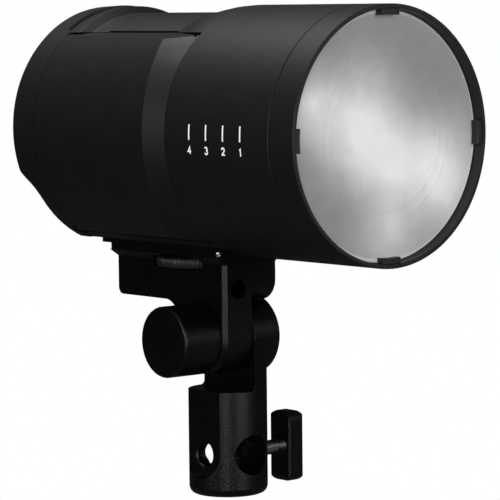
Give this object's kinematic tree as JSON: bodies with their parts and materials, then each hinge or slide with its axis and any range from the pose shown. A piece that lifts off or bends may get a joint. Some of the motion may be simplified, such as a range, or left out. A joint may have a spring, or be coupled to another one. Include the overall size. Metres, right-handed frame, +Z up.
{
  "type": "monolight strobe",
  "caption": "Battery-powered monolight strobe with a frosted front glass, sliding battery and rear controls, on a tilting stand adapter with a spigot socket.",
  "frame": {"origin": "centre of the spigot socket's mouth", "axes": "+Z up the spigot, +X the way the flash fires, +Y the side that the battery slides out of"},
  "size_m": [0.1832, 0.1066, 0.1979],
  "materials": {
    "cover_plastic": "fine matte texture",
    "black_metal": "satin powder coat",
    "inner_plastic": "moulded",
    "panel": "gloss",
    "button_grey": "soft touch",
    "rubber": "matte",
    "steel": "machined",
    "zinc": "plated",
    "brass": "machined",
    "glass_front": "frosted",
    "glass_tube": "clear",
    "display_glass": "gloss",
    "reflector_metal": "brushed, bright",
    "heatsink_metal": "extruded",
    "ceramic": "unglazed",
    "circuit": "solder resist",
    "copper": "enamelled wire",
    "capacitor": "shrink sleeve",
    "led": "phosphor",
    "cell": "shrink sleeve",
    "lead": "insulated wire"
  },
  "bodies": {
    "stand": {"stand_socket": "black_metal"},
    "head": {"tilt_bracket": "black_metal", "bracket_tongue": "black_metal", "bracket_screws": "zinc", "adapter_plate": "black_metal", "mount_foot": "black_metal", "foot_screws": "zinc", "thread_insert": "brass", "guide_pins": "steel", "core_housing": "cover_plastic", "front_ring": "cover_plastic", "glass_clips": "inner_plastic", "front_glass": "glass_front", "glass_seal": "rubber", "reflector": "reflector_metal", "flash_tube": "glass_tube", "tube_socket": "ceramic", "modelling_led": "led", "led_heatsink": "heatsink_metal", "bulkhead": "inner_plastic", "bulkhead_screws": "zinc", "trigger_coil": "copper", "fan_frame": "inner_plastic", "rear_shell": "cover_plastic", "rear_panel": "panel", "panel_screws": "zinc", "display_window": "display_glass", "display_module": "inner_plastic", "control_board": "circuit", "sync_jack": "steel", "usb_port": "steel", "power_board": "circuit", "charge_transformer": "copper", "capacitor_bank": "capacitor", "battery_bay": "inner_plastic", "bay_contacts": "brass", "battery_leads": "lead"},
    "thumbwheel": {"thumbwheel": "black_metal", "mount_stud": "steel"},
    "tilt_clamp": {"thrust_washer": "steel"},
    "tilt_knob": {"tilt_knob": "black_metal", "tilt_bolt": "steel"},
    "spigot_clamp": {"clamp_tip": "brass"},
    "wing_screw": {"wing_shaft": "steel", "wing_handle": "black_metal"},
    "fan": {"fan_rotor": "inner_plastic"},
    "dial_push": {"dial_shaft": "steel"},
    "dial": {"control_dial": "cover_plastic"},
    "button_1": {"button_1": "button_grey"},
    "button_2": {"button_2": "button_grey"},
    "button_3": {"button_3": "button_grey"},
    "button_4": {"button_4": "button_grey"},
    "battery": {"battery_case": "cover_plastic", "battery_cells": "cell", "battery_contacts": "brass", "battery_gauge": "panel"},
    "battery_release": {"battery_button": "button_grey"}
  },
  "joints": [
    {"name": "tilt", "type": "hinge", "parent": "stand", "child": "head", "pos_m": [0, 0, 0.064], "axis": [0, 1, 0], "range_deg": [-75, 75]},
    {"name": "tilt_knob_turn", "type": "hinge", "parent": "tilt_clamp", "child": "tilt_knob", "pos_m": [0, -0.02, 0.064], "axis": [0, -1, 0], "range_deg": [0, 180]},
    {"name": "tilt_knob_travel", "type": "slide", "parent": "stand", "child": "tilt_clamp", "axis": [0, -1, 0], "range_m": [0, 0.00062]},
    {"name": "wing_turn", "type": "hinge", "parent": "spigot_clamp", "child": "wing_screw", "pos_m": [0, 0.02, 0.0158], "axis": [0, -1, 0], "range_deg": [0, 1440]},
    {"name": "wing_travel", "type": "slide", "parent": "stand", "child": "spigot_clamp", "axis": [0, -1, 0], "range_m": [0, 0.00399]},
    {"name": "thumbwheel_turn", "type": "hinge", "parent": "head", "child": "thumbwheel", "pos_m": [-0.0145, 0, 0.0937], "axis": [0, 0, 1], "range_deg": [0, 90]},
    {"name": "fan_spin", "type": "hinge", "parent": "head", "child": "fan", "pos_m": [0.0165, 0, 0.1475], "axis": [1, 0, 0], "continuous": true},
    {"name": "dial_press", "type": "slide", "parent": "head", "child": "dial_push", "axis": [1, 0, 0], "range_m": [0, 0.0008], "stiffness_N_per_m": 900, "springref_m": -0.0005},
    {"name": "dial_turn", "type": "hinge", "parent": "dial_push", "child": "dial", "pos_m": [-0.082, 0, 0.1465], "axis": [-1, 0, 0], "continuous": true},
    {"name": "battery_slide", "type": "slide", "parent": "head", "child": "battery", "axis": [0, 1, 0], "range_m": [0, 0.06]},
    {"name": "battery_release_press", "type": "slide", "parent": "battery", "child": "battery_release", "axis": [0, -1, 0], "range_m": [0, 0.002], "stiffness_N_per_m": 400, "springref_m": -0.001},
    {"name": "button_1_press", "type": "slide", "parent": "head", "child": "button_1", "axis": [1, 0, 0], "range_m": [0, 0.0006], "stiffness_N_per_m": 700, "springref_m": -0.0005},
    {"name": "button_2_press", "type": "slide", "parent": "head", "child": "button_2", "axis": [1, 0, 0], "range_m": [0, 0.0006], "stiffness_N_per_m": 700, "springref_m": -0.0005},
    {"name": "button_3_press", "type": "slide", "parent": "head", "child": "button_3", "axis": [1, 0, 0], "range_m": [0, 0.0006], "stiffness_N_per_m": 700, "springref_m": -0.0005},
    {"name": "button_4_press", "type": "slide", "parent": "head", "child": "button_4", "axis": [1, 0, 0], "range_m": [0, 0.0006], "stiffness_N_per_m": 700, "springref_m": -0.0005}
  ],
  "couplings": [
    {"joint": "tilt_knob_turn", "follows": "tilt_knob_travel", "rad_per_m": 5026.5},
    {"joint": "wing_turn", "follows": "wing_travel", "rad_per_m": 6283.2}
  ]
}
